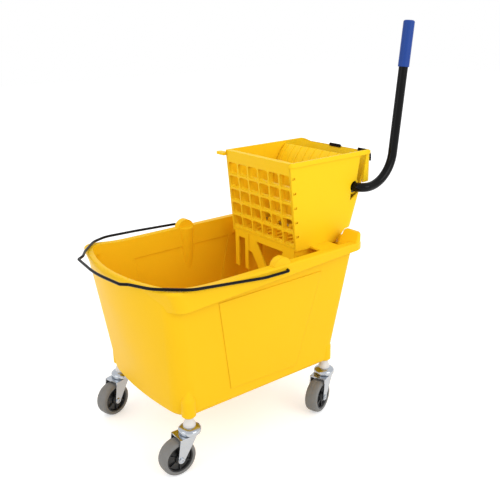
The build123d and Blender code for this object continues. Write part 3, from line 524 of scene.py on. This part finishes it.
class CasterPieces(Operator):
    """The four casters: tyres, ribbed hubs, swivel cups and forks"""

    bl_idname = "mop_bucket.casters"
    bl_label = "Casters"

    def execute(self, context):
        segments = sizes().tyre_segments
        for corner in CORNERS:
            wheel = centre_of("tyre_" + corner)
            stem = centre_of("caster_stem_" + corner)
            ahead = Vector((stem.x - wheel.x, stem.y - wheel.y, 0)).normalized()
            axis = Vector((-ahead.y, ahead.x, 0))
            place = placed(wheel, axis, ahead)

            bm = bmesh.new()
            turn_profile(bm, tyre_profile(), place, segments)
            add_piece("caster_tyre_tread_" + corner, bm, "tyre_grey", "wheel_" + corner, ["tyre_" + corner])

            bm = bmesh.new()
            turn_profile(bm, hub_profile(), place, segments)
            add_hub_ribs(bm, place)
            add_piece("caster_wheel_centre_" + corner, bm, "hub_black", "wheel_" + corner,
                      ["wheel_hub_" + corner])

            cup_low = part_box("swivel_cup_" + corner)[0]
            upright = placed(Vector((stem.x, stem.y, cup_low.z)), Vector((0, 0, 1)), ahead)
            bm = bmesh.new()
            turn_profile(bm, cup_profile(), upright, segments)
            add_piece("caster_swivel_race_" + corner, bm, "zinc_steel", "bucket", ["swivel_cup_" + corner])
            finish_nodes(
                "stem_bush_" + corner, "caster_stem_" + corner,
                "caster_fork_" + corner, "axle_sleeve_" + corner, "axle_bolt_" + corner,
                "axle_nut_" + corner,
            )
        finish_nodes("swivel_balls")
        return {"FINISHED"}


class WringerPiece(Operator):
    """The wringer's moulded box with its leg frame"""

    bl_idname = "mop_bucket.wringer"
    bl_label = "Wringer"

    def execute(self, context):
        finish_nodes("wringer_body")
        return {"FINISHED"}


class GrillePiece(Operator):
    """The front grille"""

    bl_idname = "mop_bucket.grille"
    bl_label = "Grille"

    def execute(self, context):
        finish_nodes("front_grille")
        return {"FINISHED"}


class PressPlatePiece(Operator):
    """The plate that presses the mop, with its hinge rod"""

    bl_idname = "mop_bucket.press_plate"
    bl_label = "Press plate"

    def execute(self, context):
        finish_nodes("press_plate", "plate_hinge_rod")
        return {"FINISHED"}


class LeverPieces(Operator):
    """The bent lever tube, its grip and its end cap"""

    bl_idname = "mop_bucket.lever"
    bl_label = "Lever"

    def execute(self, context):
        finish_nodes("lever_tube", "lever_grip", "tube_end_cap")
        return {"FINISHED"}


class MechanismPieces(Operator):
    """The bushes, arms, rollers, pins, bolts and springs behind the press plate"""

    bl_idname = "mop_bucket.mechanism"
    bl_label = "Mechanism"

    def execute(self, context):
        for name in ("left", "right"):
            finish_nodes(
                "pivot_bush_" + name, "push_arm_" + name, "push_roller_" + name,
                "roller_pin_" + name, "arm_bolt_" + name, "return_spring_" + name,
            )
        return {"FINISHED"}


class StrapPieces(Operator):
    """The two straps hooked over the wringer's rear edge"""

    bl_idname = "mop_bucket.straps"
    bl_label = "Hanger straps"

    def execute(self, context):
        finish_nodes("hanger_strap_left", "hanger_strap_right")
        return {"FINISHED"}


def add_lamp(name, power, size, place):
    """Rectangular area lamp that looks at the object."""
    data = bpy.data.lights.new(name, "AREA")
    data.energy = power
    data.shape = "RECTANGLE"
    data.size, data.size_y = size
    lamp = bpy.data.objects.new(name, data)
    lamp.location = place
    lamp.rotation_euler = (Vector(LAMP_TARGET) - Vector(place)).to_track_quat("-Z", "Y").to_euler()
    bpy.context.scene.collection.objects.link(lamp)


def greatest(tree, first, second):
    """The greater of two values."""
    node = add_node(tree, "ShaderNodeMath", {"operation": "MAXIMUM"}, links={0: first, 1: second})
    return node.outputs[0]


class Stage(Operator):
    """The pale floor, the lamps, the sky and the camera"""

    bl_idname = "mop_bucket.stage"
    bl_label = "Stage"

    def execute(self, context):
        view = context.scene.mop_bucket_view
        context.scene.view_settings.view_transform = "Standard"
        ahead = Vector((
            math.sin(view.yaw) * math.cos(view.pitch), math.cos(view.yaw) * math.cos(view.pitch),
            -math.sin(view.pitch),
        ))
        level = Vector((math.cos(view.yaw), -math.sin(view.yaw), 0))
        up = level.cross(ahead)
        right = level * math.cos(view.roll) + up * math.sin(view.roll)
        up = up * math.cos(view.roll) - level * math.sin(view.roll)
        data = bpy.data.cameras.new("camera")
        data.sensor_width = 36
        data.lens = view.lens
        data.clip_end = 50
        camera = bpy.data.objects.new("camera", data)
        turn = Matrix((right, up, -ahead)).transposed().to_4x4()
        camera.matrix_world = Matrix.Translation(view.position) @ turn
        context.scene.collection.objects.link(camera)
        context.scene.camera = camera

        bm = bmesh.new()
        bmesh.ops.create_grid(bm, x_segments=2, y_segments=2, size=FLOOR_HALF_SIZE)
        mesh = bpy.data.meshes.new("floor")
        bm.to_mesh(mesh)
        bm.free()
        floor = bpy.data.objects.new("floor", mesh)
        context.scene.collection.objects.link(floor)
        mesh.materials.append(studio_floor())

        world = bpy.data.worlds.new("sky")
        world.use_nodes = True
        tree = world.node_tree
        tree.nodes.clear()
        path = add_node(tree, "ShaderNodeLightPath")
        seen = greatest(tree, path.outputs["Is Camera Ray"], path.outputs["Is Glossy Ray"])
        seen = greatest(tree, seen, path.outputs["Is Transmission Ray"])
        strength = add_node(tree, "ShaderNodeMapRange", values={"To Min": view.sky, "To Max": 1.0},
                            links={"Value": seen})
        sky = add_node(tree, "ShaderNodeBackground", values={"Color": (1, 1, 1, 1)},
                       links={"Strength": strength.outputs["Result"]})
        add_node(tree, "ShaderNodeOutputWorld", links={"Surface": sky.outputs["Background"]})
        context.scene.world = world

        add_lamp("key_lamp", view.key_power, KEY_SIZE, KEY_PLACE)
        add_lamp("fill_lamp", view.fill_power, FILL_SIZE, FILL_PLACE)
        return {"FINISHED"}


def studio_floor():
    """Matt white painted board: it takes the object's shadow and is otherwise as white as paper."""
    material, tree, shader, _ = new_material("board_painted_matt_white", {
        "Base Color": colours().floor, "Roughness": 0.9, "Specular IOR Level": 0.0,
        "Emission Color": (1, 1, 1, 1),
    })
    path = add_node(tree, "ShaderNodeLightPath")
    seen = greatest(tree, path.outputs["Is Camera Ray"], path.outputs["Is Glossy Ray"])
    glow = add_node(tree, "ShaderNodeMapRange", values={"To Min": 0.0, "To Max": FLOOR_GLOW},
                    links={"Value": seen})
    tree.links.new(glow.outputs["Result"], shader.inputs["Emission Strength"])
    return material


class MopBucketPanel(Panel):
    """Buttons for the stage and each piece"""

    bl_label = "Mop wringer"
    bl_idname = "VIEW3D_PT_mop_bucket"
    bl_space_type = "VIEW_3D"
    bl_region_type = "UI"
    bl_category = "Mop wringer"

    def draw(self, context):
        for piece in PIECES:
            self.layout.operator(piece.bl_idname)
        for group in (context.scene.mop_bucket_colours, context.scene.mop_bucket_sizes,
                      context.scene.mop_bucket_view):
            for name in group.__annotations__:
                self.layout.prop(group, name)


GROUPS = {
    "mop_bucket_colours": MopBucketColours,
    "mop_bucket_sizes": MopBucketSizes,
    "mop_bucket_view": MopBucketView,
}
PIECES = (
    Stage, BucketPiece, BailPiece, CasterPieces, WringerPiece, GrillePiece, PressPlatePiece,
    LeverPieces, MechanismPieces, StrapPieces,
)


def register():
    for name, group in GROUPS.items():
        bpy.utils.register_class(group)
        setattr(bpy.types.Scene, name, PointerProperty(type=group))
    for piece in PIECES:
        bpy.utils.register_class(piece)
    bpy.utils.register_class(MopBucketPanel)


def unregister():
    bpy.utils.unregister_class(MopBucketPanel)
    for piece in reversed(PIECES):
        bpy.utils.unregister_class(piece)
    for name, group in GROUPS.items():
        delattr(bpy.types.Scene, name)
        bpy.utils.unregister_class(group)


def main():
    register()
    for piece in PIECES:
        group, name = piece.bl_idname.split(".")
        getattr(getattr(bpy.ops, group), name)()


if __name__ == "__main__":
    main()
